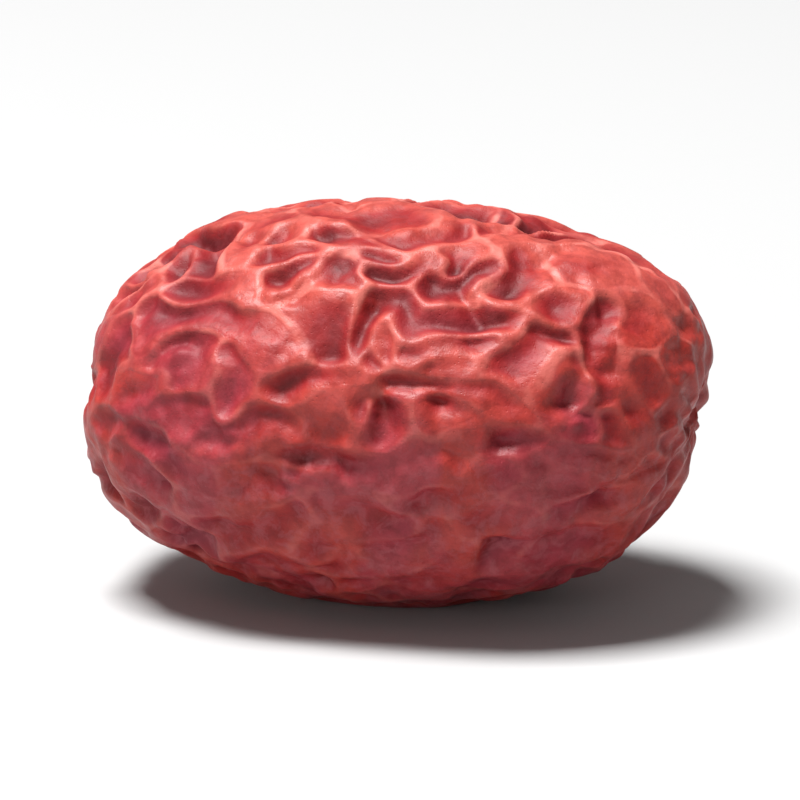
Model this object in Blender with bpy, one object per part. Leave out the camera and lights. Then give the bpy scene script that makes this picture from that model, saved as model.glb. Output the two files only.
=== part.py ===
"""A dried jujube lying on its side: one solid with its wrinkled skin, stem hollow and blossom dimple.

Metres, +Z up. +X runs along the fruit from the stem end to the blossom end, and +Y points to the
back. The origin is on the resting plane, under the middle of the fruit. The skin is a blunt barrel
pressed in by formulas: soft cells leave a net of ridges between pits, as on a fruit that shrank.
"""

import bpy
import numpy as np

MM = 0.001

# Driving dimensions of the whole fruit, then its form and the flat foot it rests on
LENGTH = 0.0480
WIDTH = 0.0330
HEIGHT = 0.0315
BLUNTNESS = 2.35
PINCH = 0.05
BLOSSOM_RISE = 0.0016
STEM_DROP = 0.0006
FOOT_CUT = 0.00035
FOOT_HALF_LENGTH = 0.0068
FOOT_HALF_WIDTH = 0.0036
FOOT_CENTRE_X = -0.0012

# Wrinkles: cells of skin sink into pits, and the borders between them stay up as crests
CELL_COUNT = 350
CELL_SHAKE = 0.42
CELL_STRETCH = 1.45
CELL_GAP = 0.0026
CREST_WIDTH = 0.00065
CREST_EDGE = 0.25
CREST_FADE = 0.45
FADE_LENGTH = 0.009
LEAST_PIT = 0.0007
PIT_RANGE = 0.0014
PIT_SKEW = 1.6
PIT_TILT = 0.12
SEED_STEP = 0.0012
LONG_SHARE = 0.30
LONG_RANGE = (0.0015, 0.0050)
LONG_TURN = 0.6
BEND_LENGTH = 0.0100
BEND = 0.00065
WIGGLE_LENGTH = 0.0036
WIGGLE = 0.00022
LUMP_LENGTH = 0.018
LUMP = 0.00025
END_START = 0.60
END_CALM = 0.65
UNDERSIDE_CALM = 0.15

# Stem end at -X, blossom end at +X
STEM_DEPTH = 0.0032
STEM_RADIUS = 0.0040
SCAR_RADIUS = 0.0016
SCAR_EDGE = 0.0006
SCAR_HEIGHT = 0.0005
BLOSSOM_DEPTH = 0.0012
BLOSSOM_RADIUS = 0.0030
POINT_RADIUS = 0.0009
POINT_HEIGHT = 0.0010
PUCKER_COUNT = 11
PUCKER_DEPTH = 0.0003
PUCKER_RADIUS = 0.0060
PUCKER_DRIFT = 1.5

# Pits seen from the front: depth, then a line through the pit, right and up of the fruit's middle,
# all in millimetres
VIEW_AZIMUTH = np.radians(12)
VIEW_ELEVATION = np.radians(15)
FRONT_PITS = (
    (1.0, (-5.0, 13.0), (-1.5, 12.0)),
    (0.4, (-10.8, 10.0), (-7.6, 10.0)),
    (1.6, (-3.0, 7.7), (0.0, 7.4), (2.6, 5.9), (7.8, 7.0)),
    (1.1, (-5.0, 7.0), (-5.0, 3.3)),
    (0.9, (-15.5, 4.0), (-14.2, 2.5)),
    (0.5, (-19.0, 6.2), (-17.0, 5.9)),
    (1.1, (-10.2, 5.5), (-8.7, 3.3)),
    (1.1, (-8.6, 1.4), (-3.2, 1.2)),
    (0.8, (-1.1, 2.5), (1.9, 3.6)),
    (1.1, (3.7, 12.6), (4.5, 11.1)),
    (1.1, (2.6, 9.6), (3.9, 8.3), (6.7, 10.7)),
    (1.2, (8.2, 9.2), (10.1, 11.1)),
    (1.0, (8.2, 13.3), (12.7, 12.9)),
    (1.1, (11.2, 7.0), (13.6, 6.6), (14.5, 4.0)),
    (1.2, (8.6, 5.1), (7.8, 3.3)),
    (1.1, (12.1, 3.1), (10.4, 0.5)),
    (1.0, (13.8, 2.5), (13.0, 0.3)),
    (1.2, (3.0, 1.6), (8.6, 0.8)),
    (1.1, (-1.5, -0.5), (-0.9, -3.4)),
    (0.8, (-19.4, -4.9), (-13.4, -6.2)),
    (0.7, (-15.5, -2.7), (-11.5, -3.4)),
    (0.8, (-12.7, -9.6), (-6.9, -9.8)),
    (0.8, (-5.2, -9.8), (-1.5, -10.0)),
    (0.7, (8.0, -5.7), (9.9, -7.0)),
    (0.8, (6.9, -2.3), (11.0, -2.5)),
    (0.8, (12.8, -11.3), (15.3, -10.9)),
    (0.7, (1.9, -8.7), (4.1, -7.2)),
)

GRID = 31
SKIN_COLOUR = (0.27, 0.022, 0.022, 1.0)
SKIN_ROUGHNESS = 0.42
SIZE = np.array([LENGTH, WIDTH, HEIGHT])
HALF = SIZE / 2
STRETCH = np.array([CELL_STRETCH, 1.0, 1.0])


def clear_scene():
    """Remove every object of the startup scene."""
    for thing in list(bpy.data.objects):
        bpy.data.objects.remove(thing, do_unlink=True)


def unit(vectors):
    """Scale each vector to length 1."""
    return vectors / np.linalg.norm(vectors, axis=-1, keepdims=True)


def ease(amount):
    """Smooth step from 0 at amount 0 to 1 at amount 1."""
    t = np.clip(amount, 0, 1)
    return t * t * (3 - 2 * t)


def waves(points, length, seed, count=40):
    """Sum of plane waves about one length long, in random directions, near 1 in size."""
    rng = np.random.default_rng(seed)
    directions = unit(rng.normal(size=(count, 3)))
    lengths = length * rng.uniform(0.8, 1.3, count)
    phases = rng.uniform(0, 2 * np.pi, count)
    turns = points @ (directions / lengths[:, None]).T * 2 * np.pi
    return np.cos(turns + phases).sum(axis=1) * np.sqrt(2 / count)


def barrel(directions):
    """Points of the unwrinkled fruit: |x|^n + ring^n = 1 scaled to size and pinched at both ends.

    The blossom end rises and the stem end drops with the cube of the way to the end.
    """
    along = np.abs(directions[:, 0])
    ring = np.hypot(directions[:, 1], directions[:, 2])
    reach = (along ** BLUNTNESS + ring ** BLUNTNESS) ** (-1 / BLUNTNESS)
    points = directions * reach[:, None] * HALF
    x = points[:, 0] / HALF[0]
    points[:, 1:] *= (1 - PINCH * x ** 2)[:, None]
    points[:, 2] += np.where(x > 0, BLOSSOM_RISE, STEM_DROP) * x ** 3
    return points


def spiral(count, shake, seed):
    """Directions spread evenly over a sphere along a golden-angle spiral, then shaken."""
    rng = np.random.default_rng(seed)
    step = np.arange(count) + 0.5
    x = 1 - 2 * step / count
    angle = step * np.pi * (3 - np.sqrt(5))
    ring = np.sqrt(1 - x * x)
    directions = np.stack([x, ring * np.cos(angle), ring * np.sin(angle)], axis=1)
    spacing = np.sqrt(4 * np.pi / count)
    return unit(directions + rng.normal(size=(count, 3)) * shake * spacing)


def seen_from_front(right, up):
    """Skin points that a distant viewer sees this far right and up of the fruit's middle."""
    sideways = np.array([np.cos(VIEW_AZIMUTH), np.sin(VIEW_AZIMUTH), 0])
    level = np.array([np.sin(VIEW_AZIMUTH), -np.cos(VIEW_AZIMUTH), 0])
    towards = level * np.cos(VIEW_ELEVATION) + np.array([0, 0, np.sin(VIEW_ELEVATION)])
    upward = np.cross(towards, sideways)
    start = (right[:, None] * sideways + up[:, None] * upward) / HALF
    ray = towards / HALF
    a = ray @ ray
    b = start @ ray
    c = (start ** 2).sum(axis=1) - 1
    reach = (-b + np.sqrt(np.maximum(b * b - a * c, 0))) / a
    return barrel(unit(start + reach[:, None] * ray))


def front_cells():
    """Seeds and depth of each pit listed for the front."""
    cells = []
    for depth, *corners in FRONT_PITS:
        right, up = np.array(corners).T * MM
        reached = np.concatenate([[0], np.cumsum(np.hypot(np.diff(right), np.diff(up)))])
        stops = np.linspace(0, reached[-1], max(2, int(reached[-1] / SEED_STEP) + 1))
        seeds = seen_from_front(np.interp(stops, reached, right), np.interp(stops, reached, up))
        cells.append((seeds, depth * MM))
    return cells


def free_cells(taken):
    """Seeds and depth of random cells over the rest of the skin, some drawn out along the fruit."""
    rng = np.random.default_rng(12)
    cells = []
    for direction in spiral(CELL_COUNT, CELL_SHAKE, seed=3):
        depth = LEAST_PIT + PIT_RANGE * rng.random() ** PIT_SKEW
        span = rng.uniform(*LONG_RANGE) if rng.random() < LONG_SHARE else 0.0
        turn = rng.normal() * LONG_TURN
        middle = barrel(direction[None])
        if np.linalg.norm(taken - middle, axis=1).min() < CELL_GAP:
            continue
        lengthwise = unit(np.array([1.0, 0, 0]) - direction * direction[0])
        heading = lengthwise * np.cos(turn) + np.cross(direction, lengthwise) * np.sin(turn)
        offsets = np.linspace(-span / 2, span / 2, int(span / SEED_STEP) + 1)
        cells.append((middle + heading * offsets[:, None], depth))
    return cells


def cell_field(points, cells):
    """Depth of the cells at each point, and the crests that part them.

    A cell holds the points nearest to one of its seeds. Each seed of another cell counts by
    exp(-2 d / crest width), where d is the distance to the border with it, and the depth is blended
    by these shares. With their sum t, the crest is in part 1 - ((1 - t) / (1 + t))^2, which is round,
    and in part t, which has an edge. Both are 1 on a border.
    """
    rng = np.random.default_rng(7)
    seeds = np.concatenate([seed for seed, _ in cells]) / STRETCH
    owner = np.repeat(np.arange(len(cells)), [len(seed) for seed, _ in cells])
    tilts = rng.normal(size=(len(cells), 3)) * PIT_TILT
    depths = np.array([depth for _, depth in cells])[owner] - (tilts[owner] * seeds).sum(axis=1)
    places = points / STRETCH
    squares = (seeds ** 2).sum(axis=1) - 2 * places @ seeds.T
    nearest = squares.argmin(axis=1)
    squares -= squares.min(axis=1)[:, None]
    apart = np.linalg.norm(seeds[:, None] - seeds, axis=2) + 1e-9
    share = np.exp(-squares / (apart[nearest] * CREST_WIDTH))
    share[owner[nearest][:, None] == owner] = 0
    total = share.sum(axis=1)
    level = depths + places @ tilts[owner].T
    own = np.take_along_axis(level, nearest[:, None], axis=1)[:, 0]
    depth = (own + (share * level).sum(axis=1)) / (1 + total)
    total = np.minimum(total, 1)
    crest = 1 - ((1 - total) / (1 + total)) ** 2
    return depth, crest + CREST_EDGE * (total - crest)


def wrinkles(points):
    """How far the skin sinks at each point: deep inside the cells, hardly at all on the crests."""
    bend = np.stack([waves(points, BEND_LENGTH, 11 + axis) for axis in range(3)], axis=1)
    wiggle = np.stack([waves(points, WIGGLE_LENGTH, 21 + axis) for axis in range(3)], axis=1)
    cells = front_cells()
    cells += free_cells(np.concatenate([seed for seed, _ in cells]))
    depth, crest = cell_field(points + BEND * bend + WIGGLE * wiggle, cells)
    fade = CREST_FADE * np.clip(waves(points, FADE_LENGTH, 61), 0, 1)
    return depth * (1 - crest * (1 - fade))


def end_relief(points, radius):
    """Distance to push the skin towards +X: the stem hollow with its scar, the blossom dimple."""
    stem = STEM_DEPTH * np.exp(-(radius / STEM_RADIUS) ** 2)
    stem -= SCAR_HEIGHT * ease((SCAR_RADIUS - radius) / SCAR_EDGE)
    blossom = -BLOSSOM_DEPTH * np.exp(-(radius / BLOSSOM_RADIUS) ** 2)
    blossom += POINT_HEIGHT * np.exp(-(radius / POINT_RADIUS) ** 2)
    return np.where(points[:, 0] < 0, stem, blossom)


def puckers(points, radius):
    """Depth of the folds that run into both ends, gone at the very end and on the body."""
    angle = np.arctan2(points[:, 2], points[:, 1])
    drift = waves(points, BEND_LENGTH, 51)
    folds = 0.5 + 0.5 * np.cos(PUCKER_COUNT * angle + PUCKER_DRIFT * drift)
    reach = radius / PUCKER_RADIUS
    return PUCKER_DEPTH * folds * reach * np.exp(1 - reach ** 2)


def skin(directions):
    """Points of the finished skin, scaled to its full size, with the foot pressed flat at height 0."""
    points = barrel(directions)
    outward = unit(points / HALF ** 2)
    radius = np.hypot(points[:, 1], points[:, 2])
    near_end = ease((np.abs(points[:, 0]) / HALF[0] - END_START) / (1 - END_START))
    underside = ease(-0.5 - points[:, 2] / HALF[2])
    foot = ((points[:, 0] - FOOT_CENTRE_X) / FOOT_HALF_LENGTH) ** 2
    foot += (points[:, 1] / FOOT_HALF_WIDTH) ** 2
    on_foot = (points[:, 2] < 0) * ease(2 - foot)
    strength = (1 - END_CALM * near_end) * (1 - UNDERSIDE_CALM * underside) * (1 - on_foot)
    sink = strength * wrinkles(points) + puckers(points, radius)
    sink -= (1 - on_foot) * LUMP * waves(points, LUMP_LENGTH, 41)
    points = points - outward * sink[:, None]
    points[:, 0] += end_relief(points, radius)
    points[:, 2] = np.maximum(points[:, 2] + HALF[2] - FOOT_CUT, 0)
    low = points.min(axis=0)
    points = (points - low) * SIZE / (points.max(axis=0) - low)
    points[:, :2] -= SIZE[:2] / 2
    return points


def cube_sphere(count):
    """Directions and quads of a cube's six faces blown up to a sphere, each count by count."""
    row, column = np.meshgrid(np.arange(count + 1), np.arange(count + 1), indexing="ij")
    index = np.arange((count + 1) ** 2).reshape(count + 1, count + 1)
    face = np.stack([index[:-1, :-1], index[1:, :-1], index[1:, 1:], index[:-1, 1:]], axis=-1)
    face = face.reshape(-1, 4)
    lattice = []
    quads = []
    for axis in range(3):
        for side in (0, count):
            sheet = np.empty(row.shape + (3,), dtype=int)
            sheet[..., axis] = side
            sheet[..., (axis + 1) % 3] = row
            sheet[..., (axis + 2) % 3] = column
            outward = face if side else face[:, ::-1]
            quads.append(outward + len(lattice) * index.size)
            lattice.append(sheet.reshape(-1, 3))
    corners, merged = np.unique(np.concatenate(lattice), axis=0, return_inverse=True)
    directions = unit(np.tan((2 * corners / count - 1) * np.pi / 4))
    return directions, merged.reshape(-1)[np.concatenate(quads)]


def skin_material():
    """Dark red, satin skin."""
    material = bpy.data.materials.new("skin")
    material.use_nodes = True
    shader = material.node_tree.nodes["Principled BSDF"]
    shader.inputs["Base Color"].default_value = SKIN_COLOUR
    shader.inputs["Roughness"].default_value = SKIN_ROUGHNESS
    shader.inputs["Metallic"].default_value = 0.0
    return material


def build():
    """Add the fruit to the scene."""
    directions, quads = cube_sphere(GRID)
    mesh = bpy.data.meshes.new("jujube")
    mesh.from_pydata(skin(directions).tolist(), [], quads.tolist())
    mesh.materials.append(skin_material())
    fruit = bpy.data.objects.new("jujube", mesh)
    bpy.context.scene.collection.objects.link(fruit)


clear_scene()
build()
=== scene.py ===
import bpy
import numpy as np
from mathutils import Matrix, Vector


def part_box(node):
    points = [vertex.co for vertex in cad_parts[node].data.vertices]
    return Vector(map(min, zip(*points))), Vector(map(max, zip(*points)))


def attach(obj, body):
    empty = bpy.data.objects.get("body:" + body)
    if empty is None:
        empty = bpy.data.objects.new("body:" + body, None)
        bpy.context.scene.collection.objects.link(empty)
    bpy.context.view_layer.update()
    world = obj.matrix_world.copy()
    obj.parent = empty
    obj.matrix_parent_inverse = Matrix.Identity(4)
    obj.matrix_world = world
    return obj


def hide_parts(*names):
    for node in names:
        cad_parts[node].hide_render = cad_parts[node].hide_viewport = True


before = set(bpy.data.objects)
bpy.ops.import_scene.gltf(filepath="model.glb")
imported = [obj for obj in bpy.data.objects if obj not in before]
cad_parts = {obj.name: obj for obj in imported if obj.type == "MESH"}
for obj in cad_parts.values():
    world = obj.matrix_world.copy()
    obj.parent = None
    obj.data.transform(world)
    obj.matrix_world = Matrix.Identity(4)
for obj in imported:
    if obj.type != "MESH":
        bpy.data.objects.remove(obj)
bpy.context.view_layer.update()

# The fruit's body
# A large jujube, dried whole until its flesh shrank, lying on its side. It is one grown piece, a
# blunt barrel that drops a little at the stem end, -X, and rises at the blossom end, +X.

MM = 0.001
low, high = (np.array(corner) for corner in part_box("jujube"))
SIZE = high - low
HALF = SIZE / 2
BLUNTNESS = 2.35
PINCH = 0.05
BLOSSOM_RISE = 1.6 * MM
STEM_DROP = 0.6 * MM
WAVE_COUNT = 40
WAVE_LENGTHS = (0.8, 1.3)


def unit(vectors):
    """Scale each vector to length 1."""
    return vectors / np.linalg.norm(vectors, axis=-1, keepdims=True)


def ease(amount):
    """Smooth step: 0 below amount 0, 1 above amount 1, and 3 t^2 - 2 t^3 between."""
    t = np.clip(amount, 0, 1)
    return t * t * (3 - 2 * t)


def waves(points, length, seed):
    """Sum of plane waves about one length long, in random directions, near 1 in size."""
    rng = np.random.default_rng(seed)
    directions = unit(rng.normal(size=(WAVE_COUNT, 3)))
    lengths = length * rng.uniform(*WAVE_LENGTHS, WAVE_COUNT)
    phases = rng.uniform(0, 2 * np.pi, WAVE_COUNT)
    turns = points @ (directions / lengths[:, None]).T * 2 * np.pi
    return np.cos(turns + phases).sum(axis=1) * np.sqrt(2 / WAVE_COUNT)


def barrel(directions):
    """Points of the plump fruit: |x|^n + ring^n = 1, scaled to size and pinched towards both ends.

    The blossom end rises and the stem end drops with the cube of the way to the end.
    """
    along = np.abs(directions[:, 0])
    ring = np.hypot(directions[:, 1], directions[:, 2])
    reach = (along ** BLUNTNESS + ring ** BLUNTNESS) ** (-1 / BLUNTNESS)
    points = directions * reach[:, None] * HALF
    x = points[:, 0] / HALF[0]
    points[:, 1:] *= (1 - PINCH * x ** 2)[:, None]
    points[:, 2] += np.where(x > 0, BLOSSOM_RISE, STEM_DROP) * x ** 3
    return points


# The wrinkles
# As the flesh shrank, its skin stayed too large and buckled into a net of folds. Each mesh of the
# net is a pit, and the folds between the pits stay up at the fruit's first height.

VIEW_AZIMUTH = np.radians(12)
VIEW_ELEVATION = np.radians(15)
SEED_STEP = 0.25 * MM
LINE_STEPS = 200
AIM_ROUNDS = 5

# Pits seen from the front: depth and half the width, then a line through the pit, right and up of
# the fruit's middle, all in millimetres
FRONT_PITS = (
    (1.1, 1.0, (-3.1, 4.3), (-2.8, 6.3), (-1.6, 7.1), (1.2, 7.0), (3.4, 5.6), (5.4, 5.8), (8.3, 6.2)),
    (0.8, 0.9, (-5.4, 7.0), (-5.1, 3.7)),
    (1.0, 0.5, (-4.4, 10.8), (-4.0, 8.6)),
    (1.2, 0.5, (-5.0, 12.8), (-2.2, 12.2)),
    (0.9, 0.5, (-0.8, 12.6), (1.5, 13.4), (4.8, 13.7)),
    (0.8, 0.6, (-6.5, 14.9), (-3.0, 14.4), (0.5, 14.2)),
    (0.9, 0.3, (-2.1, 11.1), (-1.0, 10.7)),
    (1.0, 0.3, (-2.2, 9.5), (-0.2, 8.9), (1.4, 9.8), (3.2, 11.6)),
    (0.9, 0.5, (4.0, 12.4), (5.0, 10.7)),
    (1.1, 0.7, (3.5, 9.6), (4.1, 7.9), (5.2, 9.2), (6.8, 10.4)),
    (0.9, 0.4, (-8.4, 12.8), (-8.9, 12.1)),
    (0.9, 0.3, (-9.3, 11.0), (-7.5, 10.9), (-5.4, 11.5)),
    (1.0, 0.35, (-9.5, 9.2), (-7.6, 9.5), (-5.2, 11.0)),
    (0.9, 0.3, (-10.5, 12.3), (-8.9, 14.0)),
    (0.4, 0.4, (-12.5, 14.2), (-9.0, 14.7)),
    (0.5, 0.8, (-15.0, 9.3), (-11.2, 8.9)),
    (0.7, 1.2, (-18.0, 7.3), (-15.2, 7.3), (-12.6, 6.1), (-10.2, 5.3), (-9.1, 3.4)),
    (0.8, 0.8, (-15.4, 4.0), (-15.0, 0.9)),
    (0.8, 0.7, (-12.8, 3.0), (-11.6, 2.4), (-12.0, -0.4)),
    (0.6, 1.0, (-19.3, 1.6), (-17.8, 1.2)),
    (0.7, 0.9, (-16.2, -1.2), (-9.8, -1.3)),
    (0.6, 0.8, (-8.6, 1.3), (-6.0, 1.6), (-3.0, 1.5)),
    (0.6, 0.6, (-5.5, 0.2), (-5.0, -1.5)),
    (0.5, 0.5, (-3.0, 0.3), (-2.9, -1.2)),
    (0.8, 0.5, (-1.4, 3.2), (-0.6, 2.7)),
    (0.6, 0.6, (0.5, 4.8), (0.8, 3.6)),
    (0.6, 0.35, (2.3, 3.7), (5.0, 4.1), (7.6, 4.9)),
    (0.35, 0.5, (4.6, 2.8), (5.6, 2.6)),
    (0.5, 1.1, (0.6, 1.4), (3.0, 1.4), (6.4, 0.1), (8.8, -0.2)),
    (1.0, 0.7, (7.8, 2.0), (8.7, 3.7), (10.2, 5.3), (12.4, 4.7)),
    (0.3, 0.6, (10.8, 0.8), (11.9, 2.0), (12.9, 3.5)),
    (0.8, 0.8, (14.5, 2.0), (14.8, 4.4), (16.0, 6.0)),
    (0.7, 0.6, (12.1, 7.2), (13.5, 6.9)),
    (1.0, 0.45, (10.5, 11.0), (9.9, 9.9), (8.6, 8.9)),
    (0.5, 0.6, (8.7, 12.7), (12.9, 13.2)),
    (0.5, 0.4, (6.5, 13.5), (7.5, 13.4)),
    (0.6, 0.5, (14.2, 9.7), (15.4, 10.7)),
    (0.5, 0.6, (18.4, 9.4), (19.6, 8.2)),
    (0.8, 0.5, (18.3, 6.4), (18.6, 4.4)),
    (0.7, 0.5, (13.2, 0.6), (13.6, -1.2)),
    (0.9, 0.5, (15.0, 0.4), (15.3, -1.4)),
    (0.7, 0.5, (17.3, 0.6), (17.4, -2.0)),
    (0.4, 1.2, (-6.2, -4.9), (-3.5, -4.8), (1.0, -5.0), (4.3, -5.0)),
    (0.9, 0.8, (-1.0, -1.3), (-1.1, -3.2)),
    (0.5, 0.4, (4.2, -0.9), (4.4, -1.8)),
    (0.7, 0.7, (7.4, -3.6), (10.4, -2.7)),
    (0.6, 0.6, (12.2, -3.4), (15.4, -3.8)),
    (0.5, 0.5, (7.9, -6.1), (9.3, -6.2)),
    (0.5, 0.4, (10.6, -5.6), (10.4, -7.2)),
    (0.6, 0.5, (2.4, -7.3), (4.6, -7.6)),
    (0.5, 0.5, (6.0, -10.0), (9.6, -9.3)),
    (0.8, 0.7, (-20.6, -4.2), (-19.5, -5.6), (-17.6, -5.8)),
    (0.8, 0.5, (-18.3, -4.1), (-15.8, -4.5), (-13.8, -5.5)),
    (0.7, 0.5, (-16.5, -6.4), (-14.0, -6.9)),
    (0.5, 0.4, (-9.5, -6.3), (-8.2, -7.2)),
    (0.5, 0.4, (-7.4, -6.6), (-6.4, -6.4)),
    (0.9, 0.7, (-14.0, -9.3), (-10.0, -9.7), (-7.6, -9.2)),
    (0.9, 0.7, (-5.2, -9.2), (-1.6, -9.4)),
    (0.5, 0.8, (0.2, -11.0), (1.6, -10.7)),
    (0.5, 0.7, (2.6, -13.2), (5.0, -12.6)),
    (0.7, 0.8, (12.5, -11.3), (15.5, -11.0)),
)


def spiral(count, shake, seed):
    """Directions spread evenly over a sphere along a golden-angle spiral, then shaken."""
    rng = np.random.default_rng(seed)
    step = np.arange(count) + 0.5
    x = 1 - 2 * step / count
    angle = step * np.pi * (3 - np.sqrt(5))
    ring = np.sqrt(1 - x * x)
    directions = np.stack([x, ring * np.cos(angle), ring * np.sin(angle)], axis=1)
    spacing = np.sqrt(4 * np.pi / count)
    return unit(directions + rng.normal(size=(count, 3)) * shake * spacing)


def seen_from_front(right, up):
    """Skin points that a distant viewer sees this far right and up of the fruit's middle.

    Each line of sight meets an ellipsoid first, where a t^2 + 2 b t + c = 0, and then the aim is
    moved by what the barrel's point misses.
    """
    sideways = np.array([np.cos(VIEW_AZIMUTH), np.sin(VIEW_AZIMUTH), 0])
    level = np.array([np.sin(VIEW_AZIMUTH), -np.cos(VIEW_AZIMUTH), 0])
    towards = level * np.cos(VIEW_ELEVATION) + np.array([0, 0, np.sin(VIEW_ELEVATION)])
    upward = np.cross(towards, sideways)
    wanted = right[:, None] * sideways + up[:, None] * upward
    aim = wanted
    for attempt in range(AIM_ROUNDS):
        start = aim / HALF
        ray = towards / HALF
        a = ray @ ray
        b = start @ ray
        c = (start ** 2).sum(axis=1) - 1
        reach = (-b + np.sqrt(np.maximum(b * b - a * c, 0))) / a
        points = barrel(unit(start + reach[:, None] * ray))
        miss = wanted - points
        aim = aim + miss - (miss @ towards)[:, None] * towards
    return points


def front_pits():
    """Seeds at even steps along each pit listed for the front, with its depth and half width."""
    cells = []
    for depth, half, *corners in FRONT_PITS:
        right, up = np.array(corners).T * MM
        reached = np.concatenate([[0], np.cumsum(np.hypot(np.diff(right), np.diff(up)))])
        fine = np.linspace(0, reached[-1], LINE_STEPS)
        line = seen_from_front(np.interp(fine, reached, right), np.interp(fine, reached, up))
        walked = np.concatenate([[0], np.cumsum(np.linalg.norm(np.diff(line, axis=0), axis=1))])
        stops = np.linspace(0, walked[-1], max(2, int(walked[-1] / SEED_STEP) + 1))
        seeds = np.stack([np.interp(stops, walked, axis) for axis in line.T], axis=1)
        cells.append((seeds, depth * MM, half * MM))
    return cells


PIT_COUNT = 350
PIT_SHAKE = 0.42
PIT_GAP = 2.6 * MM
LEAST_PIT = 0.6 * MM
PIT_RANGE = 1.2 * MM
PIT_SKEW = 1.6
LONG_SHARE = 0.30
LONG_RANGE = (1.5 * MM, 5.0 * MM)
LONG_TURN = 0.6
UNLISTED = 0


def free_pits(taken):
    """Seeds and depth of random pits over the rest of the skin, some drawn out along the fruit."""
    rng = np.random.default_rng(12)
    cells = []
    for direction in spiral(PIT_COUNT, PIT_SHAKE, seed=3):
        depth = LEAST_PIT + PIT_RANGE * rng.random() ** PIT_SKEW
        span = rng.uniform(*LONG_RANGE) if rng.random() < LONG_SHARE else 0.0
        turn = rng.normal() * LONG_TURN
        middle = barrel(direction[None])
        if np.linalg.norm(taken - middle, axis=1).min() < PIT_GAP:
            continue
        lengthwise = unit(np.array([1.0, 0, 0]) - direction * direction[0])
        heading = lengthwise * np.cos(turn) + np.cross(direction, lengthwise) * np.sin(turn)
        offsets = np.linspace(-span / 2, span / 2, int(span / SEED_STEP) + 1)
        cells.append((middle + heading * offsets[:, None], depth, UNLISTED))
    return cells


STRETCH = np.array([1.45, 1.0, 1.0])
PIT_TILT = 0.32
TILT_REACH = 5 * MM
CORNER = 0.28 * MM
UPHILL = unit(np.array([0, 0.5, 0.85]))
AT_ONCE = 4000
TINY = 1e-9


def net(points, cells):
    """Measure the net of pits at each point, on a skin that is shrunk along the fruit by STRETCH.

    A cell holds the points nearest to one of its seeds. With d_k the distance to the border with
    cell k, the shares exp(-2 d_k / CORNER) add up to t, and -CORNER / 2 ln t is the distance to the
    fold, rounded where three folds meet. Depths are blended by the shares across a fold. The rows
    are depth, distance to the fold, distance to the seeds, listed half width and height uphill.
    """
    rng = np.random.default_rng(7)
    seeds = np.concatenate([seed for seed, _, _ in cells]) / STRETCH
    counts = [len(seed) for seed, _, _ in cells]
    owner = np.repeat(np.arange(len(cells)), counts)
    starts = np.cumsum([0] + counts[:-1])
    middles = np.add.reduceat(seeds, starts, axis=0) / np.array(counts)[:, None]
    extents = np.maximum.reduceat(seeds, starts, axis=0) - np.minimum.reduceat(seeds, starts, axis=0)
    calm = 1 + (np.linalg.norm(extents, axis=1) / TILT_REACH) ** 2
    tilts = rng.normal(size=(len(cells), 3)) * PIT_TILT / calm[:, None]
    depths = np.array([depth for _, depth, _ in cells]) - (tilts * middles).sum(axis=1)
    halves = np.array([half for _, _, half in cells])
    apart = np.linalg.norm(seeds[:, None] - seeds, axis=2) + TINY
    found = []
    for some in np.array_split(points / STRETCH, len(points) // AT_ONCE + 1):
        squares = (seeds ** 2).sum(axis=1) - 2 * some @ seeds.T
        nearest = squares.argmin(axis=1)
        least = squares.min(axis=1)
        core = np.sqrt(np.maximum(least + (some ** 2).sum(axis=1), 0))
        border = np.minimum.reduceat((squares - least[:, None]) / apart[nearest], starts, axis=1)
        share = np.exp(-border / CORNER)
        own = owner[nearest]
        share[np.arange(len(own)), own] = 0
        total = share.sum(axis=1)
        share[np.arange(len(own)), own] = 1
        depth = (share * (depths + some @ tilts.T)).sum(axis=1) / (1 + total)
        fold = -CORNER / 2 * np.log(np.clip(total, TINY, 1))
        uphill = (some - seeds[nearest]) * STRETCH @ UPHILL
        found.append(np.stack([depth, fold, core, halves[own], uphill]))
    return np.concatenate(found, axis=1)


BEND = 0.65 * MM
BEND_LENGTH = 10 * MM
WIGGLE = 0.15 * MM
WIGGLE_LENGTH = 3.6 * MM
TOP_SHARE = 0.05
TOP_VARIES = 0.05
TOP_LENGTH = 11 * MM
WALL_SHARE = 2.6
LEAST_WALL = 0.75
MOST_WALL = 0.97
LEAST_TOP = 0.12 * MM
LEAST_HALF = 0.15 * MM
FOLD_ROUND = 0.13 * MM
FLOOR_ROUND = 0.12 * MM
WALL_CURVE = 1.25
LEAN = 0.65
SHALLOWEST = 0.15 * MM
CREST_FADE = 0.30
FADE_LENGTH = 9 * MM


def drift(points, size, length, seed):
    """A wandering offset in all three axes, about the size given and changing over the length."""
    return size * np.stack([waves(points, length, seed + axis) for axis in range(3)], axis=1)


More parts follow.
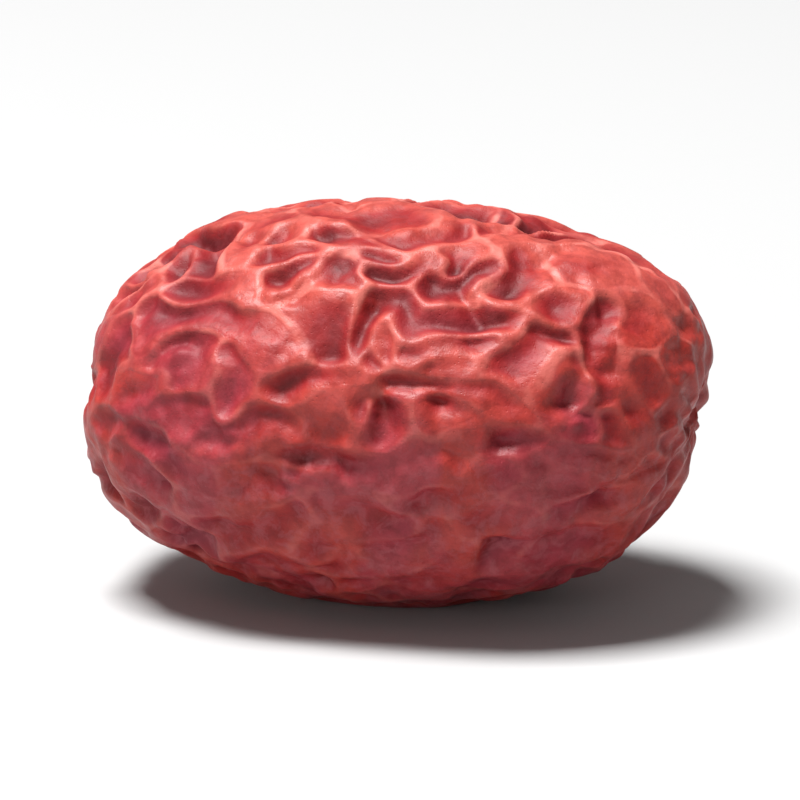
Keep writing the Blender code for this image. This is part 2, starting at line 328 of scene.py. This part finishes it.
def wrinkles(points):
    """Depth of the skin below its first height, and the distance to the nearest fold.

    A wall falls from the fold's edge to the pit's line as 1 - (1 - w)^WALL_CURVE, w being the way
    down it, rounded at both ends. A listed pit is as wide as listed where the folds leave room, and
    its uphill wall is the steeper one. Folds sink a little in places.
    """
    cells = front_pits()
    cells += free_pits(np.concatenate([seed for seed, _, _ in cells]))
    bent = points + drift(points, BEND, BEND_LENGTH, seed=11)
    bent = bent + drift(points, WIGGLE, WIGGLE_LENGTH, seed=21)
    depth, fold, core, half, uphill = net(bent, cells)
    listed = half > UNLISTED
    across = fold + core
    top = TOP_SHARE + TOP_VARIES * np.clip(waves(points, TOP_LENGTH, seed=71), -1, 1)
    wall = np.where(listed, np.clip(WALL_SHARE * half / across, LEAST_WALL, MOST_WALL), 1 - top)
    half = np.clip(wall * across, LEAST_HALF, np.maximum(across - LEAST_TOP, LEAST_HALF))
    past = half - np.hypot(core, FLOOR_ROUND) + FLOOR_ROUND
    past = (past + np.hypot(past, FOLD_ROUND)) / 2 / half
    sunk = 1 - (1 - np.minimum(past, 1)) ** WALL_CURVE
    lean = LEAN * listed * np.clip(uphill / half, -1, 1)
    fade = CREST_FADE * np.clip(waves(points, FADE_LENGTH, seed=61), 0, 1)
    return np.maximum(depth, SHALLOWEST) * (fade + (1 - fade) * sunk * (1 + lean)), fold


FACET_SHAKE = 0.45
# Each layer of facets: how many, how much they lean, and the seed of their places
FACET_LAYERS = ((700, 0.28, 9), (2600, 0.20, 19))
CREASE_STRENGTH = 0.65
CREASE_VARIES = 0.5
CREASE_LENGTH = 7 * MM
SWELL = 0.08 * MM
SWELL_LENGTH = 5 * MM


def crumple(points, count, slope, seed):
    """Height of a crumpled sheet: flat facets that meet in sharp ridges and sharp valleys.

    With s the nearest of one set of seeds and t that of another, |p - s|^2 - |p - t|^2 changes
    evenly over each facet. It is scaled so that the facets lean by about the slope.
    """
    spacing = np.sqrt(4 * np.pi / count) * HALF.mean()
    squares = []
    for part in range(2):
        seeds = barrel(spiral(count, FACET_SHAKE, seed + part))
        lengths = (seeds ** 2).sum(axis=1)
        groups = np.array_split(points, len(points) // AT_ONCE + 1)
        nearest = [(lengths - 2 * some @ seeds.T).min(axis=1) for some in groups]
        squares.append(np.concatenate(nearest))
    return (squares[0] - squares[1]) * slope / spacing


def creases(points):
    """Depth of the small facets that cover pits and folds alike, with soft swells.

    The layers of facets add up, stronger in some places than in others.
    """
    bent = points + drift(points, WIGGLE, WIGGLE_LENGTH, seed=31)
    height = sum(crumple(bent, *layer) for layer in FACET_LAYERS)
    strength = CREASE_STRENGTH + CREASE_VARIES * waves(points, CREASE_LENGTH, seed=91)
    strength = np.clip(strength, 0, 1)
    return strength * height + SWELL * waves(points, SWELL_LENGTH, seed=95)


# The two ends
# The stem broke away and left a round corky scar deep in a hollow at -X. A small dimple with a
# hard point is where the blossom sat, at +X. Short folds of skin run into both.

STEM_DEPTH = 3.2 * MM
STEM_RADIUS = 4.0 * MM
SCAR_RADIUS = 1.6 * MM
SCAR_EDGE = 0.6 * MM
SCAR_HEIGHT = 0.5 * MM
BLOSSOM_DEPTH = 1.0 * MM
BLOSSOM_RADIUS = 3.0 * MM
POINT_RADIUS = 0.9 * MM
POINT_HEIGHT = 0.5 * MM
PUCKER_COUNT = 11
PUCKER_DEPTH = 0.3 * MM
PUCKER_RADIUS = 6.0 * MM
PUCKER_SWAY = 1.5


def end_relief(points, radius):
    """Distance to push the skin towards +X: the stem hollow with its scar, the blossom dimple.

    Hollow, dimple and point are bells, exp(-(r / radius)^2), and the scar is a smooth step.
    """
    stem = STEM_DEPTH * np.exp(-(radius / STEM_RADIUS) ** 2)
    stem -= SCAR_HEIGHT * ease((SCAR_RADIUS - radius) / SCAR_EDGE)
    blossom = -BLOSSOM_DEPTH * np.exp(-(radius / BLOSSOM_RADIUS) ** 2)
    blossom += POINT_HEIGHT * np.exp(-(radius / POINT_RADIUS) ** 2)
    return np.where(points[:, 0] < 0, stem, blossom)


def puckers(points, radius):
    """Depth of the folds that run into both ends, gone at the very end and on the body.

    It is a cosine round the end times r exp(1 - r^2), r being the distance over PUCKER_RADIUS.
    """
    angle = np.arctan2(points[:, 2], points[:, 1])
    sway = PUCKER_SWAY * waves(points, BEND_LENGTH, seed=51)
    folds = 0.5 + 0.5 * np.cos(PUCKER_COUNT * angle + sway)
    reach = radius / PUCKER_RADIUS
    return PUCKER_DEPTH * folds * reach * np.exp(1 - reach ** 2)


# The skin
# One closed sheet over the whole fruit: the barrel, pressed in by the wrinkles and the ends, calmer
# near the ends and below, and pressed flat under its middle where the fruit's weight rests.

CREST_ROUND = 0.08 * MM
LUMP = 0.18 * MM
LUMP_LENGTH = 18 * MM
END_START = 0.60
END_CALM = 0.65
UNDERSIDE_CALM = 0.32
FOOT_CUT = 0.35 * MM
FOOT_HALF_LENGTH = 6.8 * MM
FOOT_HALF_WIDTH = 3.6 * MM
FOOT_CENTRE_X = -1.2 * MM
FOOT_REACH = 2
STATIONS = 258
SPOKES = 384
SIDE_STEPS = 2000


def settled(values):
    """Even out the sharpest steps between the grid's points.

    Each point and its two neighbours are weighted 1, 2, 1, first along the fruit and then round it.
    """
    rings = values[:-2].reshape(STATIONS - 1, SPOKES)
    beyond = np.concatenate([rings[:1], rings, rings[-1:]])
    rings = (beyond[:-2] + 2 * rings + beyond[2:]) / 4
    rings = (np.roll(rings, 1, axis=1) + 2 * rings + np.roll(rings, -1, axis=1)) / 4
    return np.concatenate([rings.ravel(), values[-2:]])


def skin(directions):
    """Points of the finished skin and, for its colours, the wrinkles' depth, folds and scar.

    The barrel's points move inwards by the wrinkles, creases and puckers and out by the lumps. The
    foot is free of them and cut level, and the whole is fitted to the solid's box.
    """
    points = barrel(directions)
    outward = unit(points / HALF ** 2)
    radius = np.hypot(points[:, 1], points[:, 2])
    near_end = ease((np.abs(points[:, 0]) / HALF[0] - END_START) / (1 - END_START))
    underside = ease(-points[:, 2] / HALF[2])
    foot = ((points[:, 0] - FOOT_CENTRE_X) / FOOT_HALF_LENGTH) ** 2
    foot += (points[:, 1] / FOOT_HALF_WIDTH) ** 2
    on_foot = (points[:, 2] < 0) * ease(FOOT_REACH - foot)
    strength = (1 - END_CALM * near_end) * (1 - UNDERSIDE_CALM * underside) * (1 - on_foot)
    depth, fold = wrinkles(points)
    sink = strength * depth + (1 - on_foot) * creases(points)
    sink = settled((sink + np.hypot(sink, CREST_ROUND)) / 2) + puckers(points, radius)
    sink -= (1 - on_foot) * LUMP * waves(points, LUMP_LENGTH, seed=41)
    scar = (points[:, 0] < 0) * ease((SCAR_RADIUS + SCAR_EDGE - radius) / SCAR_EDGE)
    points = points - outward * sink[:, None]
    points[:, 0] += end_relief(points, radius)
    points[:, 2] = np.maximum(points[:, 2] + HALF[2] - FOOT_CUT, 0)
    least = points.min(axis=0)
    points = low + (points - least) * SIZE / (points.max(axis=0) - least)
    fold = settled(settled(fold))
    return points, {"depth": strength * depth / MM, "fold": fold / MM, "scar": scar}


def skin_grid():
    """Directions and faces of a grid round the fruit's length, with one point at each end.

    The rings stand at even steps along the barrel's side, and each has the same number of points.
    """
    fine = np.linspace(0, np.pi, SIDE_STEPS)
    side = barrel(np.stack([-np.cos(fine), np.zeros_like(fine), np.sin(fine)], axis=1))
    walked = np.concatenate([[0], np.cumsum(np.linalg.norm(np.diff(side, axis=0), axis=1))])
    along = np.interp(np.linspace(0, walked[-1], STATIONS + 1), walked, fine)[1:-1, None]
    around = np.linspace(0, 2 * np.pi, SPOKES, endpoint=False)[None]
    rings = np.stack([-np.cos(along) + 0 * around, np.sin(along) * np.cos(around),
                      np.sin(along) * np.sin(around)], axis=-1).reshape(-1, 3)
    directions = np.concatenate([rings, [[-1.0, 0, 0], [1.0, 0, 0]]])
    index = np.arange(len(rings)).reshape(STATIONS - 1, SPOKES)
    beside = np.roll(index, -1, axis=1)
    quads = np.stack([index[:-1], beside[:-1], beside[1:], index[1:]], axis=-1).reshape(-1, 4)
    stem, blossom = len(rings), len(rings) + 1
    fans = [(stem, b, a) for a, b in zip(index[0], beside[0])]
    fans += [(blossom, a, b) for a, b in zip(index[-1], beside[-1])]
    return directions, quads.tolist() + fans


directions, faces = skin_grid()
points, measures = skin(directions)
skin_mesh = bpy.data.meshes.new("jujube_skin")
skin_mesh.from_pydata(points.tolist(), [], faces)
skin_mesh.shade_smooth()
for name, values in measures.items():
    layer = skin_mesh.attributes.new(name, "FLOAT", "POINT")
    layer.data.foreach_set("value", values.astype(np.float32))
jujube_skin = bpy.data.objects.new("jujube_skin", skin_mesh)
bpy.context.scene.collection.objects.link(jujube_skin)


class Tone:
    """A socket of a shader. Arithmetic on it adds the Math nodes, and node() adds any other."""

    def __init__(self, tree, socket=None):
        self.tree = tree
        self.socket = socket

    def node(self, kind, settings, sockets, output=0):
        """Add a node: first its settings, then values or links by socket."""
        made = self.tree.nodes.new(kind)
        for name, value in settings.items():
            setattr(made, name, value)
        for name, value in sockets.items():
            if isinstance(value, Tone):
                self.tree.links.new(value.socket, made.inputs[name])
            else:
                made.inputs[name].default_value = value
        return Tone(self.tree, made.outputs[output])

    def math(self, operation, *terms):
        """Add a Math node over the terms, each a number or a Tone."""
        return self.node("ShaderNodeMath", {"operation": operation}, dict(enumerate(terms)))

    def __add__(self, other):
        return self.math("ADD", self, other)

    def __mul__(self, other):
        return self.math("MULTIPLY", self, other)

    def __sub__(self, other):
        return self.math("SUBTRACT", self, other)

    def __rsub__(self, other):
        return self.math("SUBTRACT", other, self)

    __radd__ = __add__
    __rmul__ = __mul__

    def between(self, start, end):
        """Smooth step from 0 at start to 1 at end."""
        settings = {"interpolation_type": "SMOOTHSTEP"}
        return self.node("ShaderNodeMapRange", settings, {0: self, 1: start, 2: end})

    def mix(self, first, second):
        """Colour that is the first where this value is 0 and the second where it is 1."""
        settings = {"data_type": "RGBA"}
        return self.node("ShaderNodeMix", settings, {0: self, 6: first, 7: second}, output=2)


# painted highlight: a pale pink laid along the folds
PAINTED_RIDGE_HIGHLIGHT = (0.62, 0.165, 0.135, 1)
# painted light: a paler pink over the top, where the lamp above falls
PAINTED_TOP_LIGHT = (0.42, 0.064, 0.048, 1)
CREST_RED = (0.345, 0.031, 0.024, 1)
# painted shade down the pit walls
SHADED_WALL_RED = (0.25, 0.009, 0.010, 1)
# painted shade deep in the pits, also the colour of the dark mottling
PIT_SHADE_AND_MOTTLE_RED = (0.100, 0.003, 0.005, 1)
WARM_RED = (0.34, 0.018, 0.010, 1)
# partly a mauve bloom on the skin, partly painted sheen
MAUVE_BLOOM_AND_SHEEN = (0.25, 0.028, 0.050, 1)
# partly a pale powder on the skin, partly painted sheen
POWDER_AND_SHEEN = (0.33, 0.078, 0.092, 1)
SCAR_TAN = (0.30, 0.15, 0.075, 1)
SCAR_BROWN = (0.11, 0.045, 0.026, 1)

skin_material = bpy.data.materials.new("waxy_skin")
skin_material.use_nodes = True
skin_shader = skin_material.node_tree.nodes["Principled BSDF"]
skin_tone = Tone(skin_material.node_tree)
metres = skin_tone.node("ShaderNodeTexCoord", {}, {}, output="Object")
place = skin_tone.node("ShaderNodeVectorMath", {"operation": "SCALE"}, {0: metres, "Scale": 1 / MM})


def noise(scale, detail, roughness=0.5, distortion=0.0):
    """Noise over the skin, from 0 to 1, with features of 1 / scale millimetres."""
    sockets = {"Vector": place, "Scale": scale, "Detail": detail}
    sockets.update({"Roughness": roughness, "Distortion": distortion})
    return skin_tone.node("ShaderNodeTexNoise", {}, sockets)


def facets(scale):
    """Height of tiny flat facets 1 / scale millimetres wide, in that unit: |p - s|^2 - |p - t|^2."""
    aside = skin_tone.node("ShaderNodeVectorMath", {"operation": "ADD"}, {0: place, 1: (31, 17, 43)})
    near = skin_tone.node("ShaderNodeTexVoronoi", {}, {"Vector": place, "Scale": scale})
    other = skin_tone.node("ShaderNodeTexVoronoi", {}, {"Vector": aside, "Scale": scale})
    return (near * near - other * other) * (1 / scale)


def measure(name):
    """A value that the skin's mesh carries at each point."""
    return skin_tone.node("ShaderNodeAttribute", {"attribute_name": name}, {}, output="Fac")


depth = measure("depth")
fold = measure("fold")
scar = measure("scar")
blotches = noise(0.16, 4, 0.6)
mottle = noise(0.9, 5, 0.65)
bloom_and_sheen_patches = noise(0.11, 3, 0.55, 0.8)
# patches where the painted highlight along the folds is stronger
ridge_highlight_patches = noise(0.3, 3, 0.6)
powder_and_sheen_patches = noise(0.7, 6, 0.7, 0.6)
grain = noise(5.0, 4, 0.6)
pores = skin_tone.node("ShaderNodeTexVoronoi", {}, {"Vector": place, "Scale": 2.6})

# Depths, distances to a fold and heights are in millimetres. The skin is painted paler along the
# folds and over its top, a painted highlight and painted light, and darker down into the pits, a
# painted shade. Warm blotches and dark mottling lie over that, mauve patches that are partly bloom
# and partly painted sheen away from the top, and fine pale patches that are partly powder and partly
# painted sheen towards the bottom. The scar is of cork.
pit = depth.between(0.05, 0.60)
ridge = fold.between(0.32, 0.12)
height = skin_tone.node("ShaderNodeSeparateXYZ", {}, {0: place}, output=2)
# painted light: a mask over the top of the fruit, where the lamp above falls
top = height.between(17, 30)
# painted sheen: a mask that grows towards the bottom of the fruit
below = height.between(21, 10)
# painted light over the top and painted shade down the pit walls
red = pit.mix(top.mix(CREST_RED, PAINTED_TOP_LIGHT), SHADED_WALL_RED)
# painted shade, deepest in the pits
red = depth.between(0.45, 1.2).mix(red, PIT_SHADE_AND_MOTTLE_RED)
red = (blotches.between(0.52, 0.72) * 0.45).mix(red, WARM_RED)
# partly a mauve bloom on the skin and partly painted sheen, kept off the top
red = (bloom_and_sheen_patches.between(0.42, 0.66) * (0.55 - 0.55 * top)).mix(red, MAUVE_BLOOM_AND_SHEEN)
red = (mottle.between(0.62, 0.36) * 0.35).mix(red, PIT_SHADE_AND_MOTTLE_RED)
# partly a pale powder and partly painted sheen, stronger towards the bottom
red = (powder_and_sheen_patches.between(0.46, 0.64) * (0.10 + 0.28 * below)).mix(red, POWDER_AND_SHEEN)
# painted highlight along the folds, stronger towards the top and in patches
red = (ridge * (0.3 + top) * (0.12 + 0.6 * ridge_highlight_patches.between(0.45, 0.65))).mix(red, PAINTED_RIDGE_HIGHLIGHT)
cork = mottle.mix(SCAR_BROWN, SCAR_TAN)
colour = scar.mix(red, cork)

# The fine relief, in millimetres: folds, grain, mottling, pores and two sizes of tiny facets.
relief = 0.03 * ridge + 0.025 * grain + 0.03 * mottle - 0.02 * pores.between(0.25, 0.0)
relief = relief + 0.04 * facets(0.8) + 0.02 * facets(2.0)
bump = skin_tone.node("ShaderNodeBump", {}, {"Strength": 1.0, "Distance": MM, "Height": relief})

# The folds shine most, the pits less, and the scar is dull.
roughness = 0.44 + 0.14 * pit + 0.12 * (mottle - 0.5) + 0.35 * scar
skin_material.node_tree.links.new(colour.socket, skin_shader.inputs["Base Color"])
skin_material.node_tree.links.new(roughness.socket, skin_shader.inputs["Roughness"])
skin_material.node_tree.links.new(bump.socket, skin_shader.inputs["Normal"])
skin_shader.inputs["Specular IOR Level"].default_value = 0.29
skin_mesh.materials.append(skin_material)

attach(jujube_skin, "root")
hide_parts("jujube")

# The floor
# A plain pale sheet, matt, wide enough to fill the view. It lies level under the fruit's lowest
# point, and isn't part of the object.

FLOOR_HALF = 1.5
FLOOR_GREY = (0.42, 0.42, 0.42, 1)
floor_mesh = bpy.data.meshes.new("floor")
floor_corners = [(-1, -1), (1, -1), (1, 1), (-1, 1)]
floor_points = [(x * FLOOR_HALF, y * FLOOR_HALF, low[2]) for x, y in floor_corners]
floor_mesh.from_pydata(floor_points, [], [(0, 1, 2, 3)])
floor = bpy.data.objects.new("floor", floor_mesh)
bpy.context.scene.collection.objects.link(floor)
floor_material = bpy.data.materials.new("pale_floor")
floor_material.use_nodes = True
floor_shader = floor_material.node_tree.nodes["Principled BSDF"]
floor_shader.inputs["Base Color"].default_value = FLOOR_GREY
floor_shader.inputs["Roughness"].default_value = 0.9
floor_mesh.materials.append(floor_material)

# The light
# A broad soft lamp high above and a little to the left, a weak one low in front, and a pale room.
# The lamp above stands far off, so that the whole floor is lit alike.

MIDDLE = Vector((0, 0, (low[2] + high[2]) / 2))


def lamp(name, offset, size, power):
    """A square soft lamp at an offset from the fruit's middle, turned to face it."""
    light = bpy.data.lights.new(name, "AREA")
    light.size = size
    light.energy = power
    holder = bpy.data.objects.new(name, light)
    holder.location = MIDDLE + Vector(offset)
    holder.rotation_euler = (-Vector(offset)).to_track_quat("-Z", "Y").to_euler()
    bpy.context.scene.collection.objects.link(holder)


lamp("key", (-0.26, -0.14, 1.18), 0.40, 36)
lamp("fill", (-0.20, -0.58, 0.12), 0.30, 0.85)
room = bpy.data.worlds.new("room")
room.use_nodes = True
room.node_tree.nodes["Background"].inputs["Color"].default_value = (1, 1, 1, 1)
room.node_tree.nodes["Background"].inputs["Strength"].default_value = 0.20
bpy.context.scene.world = room
bpy.context.scene.view_settings.view_transform = "Standard"

# The camera
# A long lens at the photograph's angle: a little to the fruit's right and a little above it. The
# view is VIEW_WIDTH wide where the fruit stands.

DISTANCE = 0.45
VIEW_WIDTH = 0.062
camera_data = bpy.data.cameras.new("camera")
camera_data.lens = camera_data.sensor_width * DISTANCE / VIEW_WIDTH
camera_data.clip_start = 0.01
camera = bpy.data.objects.new("camera", camera_data)
away = Vector((np.sin(VIEW_AZIMUTH) * np.cos(VIEW_ELEVATION),
               -np.cos(VIEW_AZIMUTH) * np.cos(VIEW_ELEVATION), np.sin(VIEW_ELEVATION)))
camera.location = MIDDLE + away * DISTANCE
camera.rotation_euler = (-away).to_track_quat("-Z", "Y").to_euler()
bpy.context.scene.collection.objects.link(camera)
bpy.context.scene.camera = camera
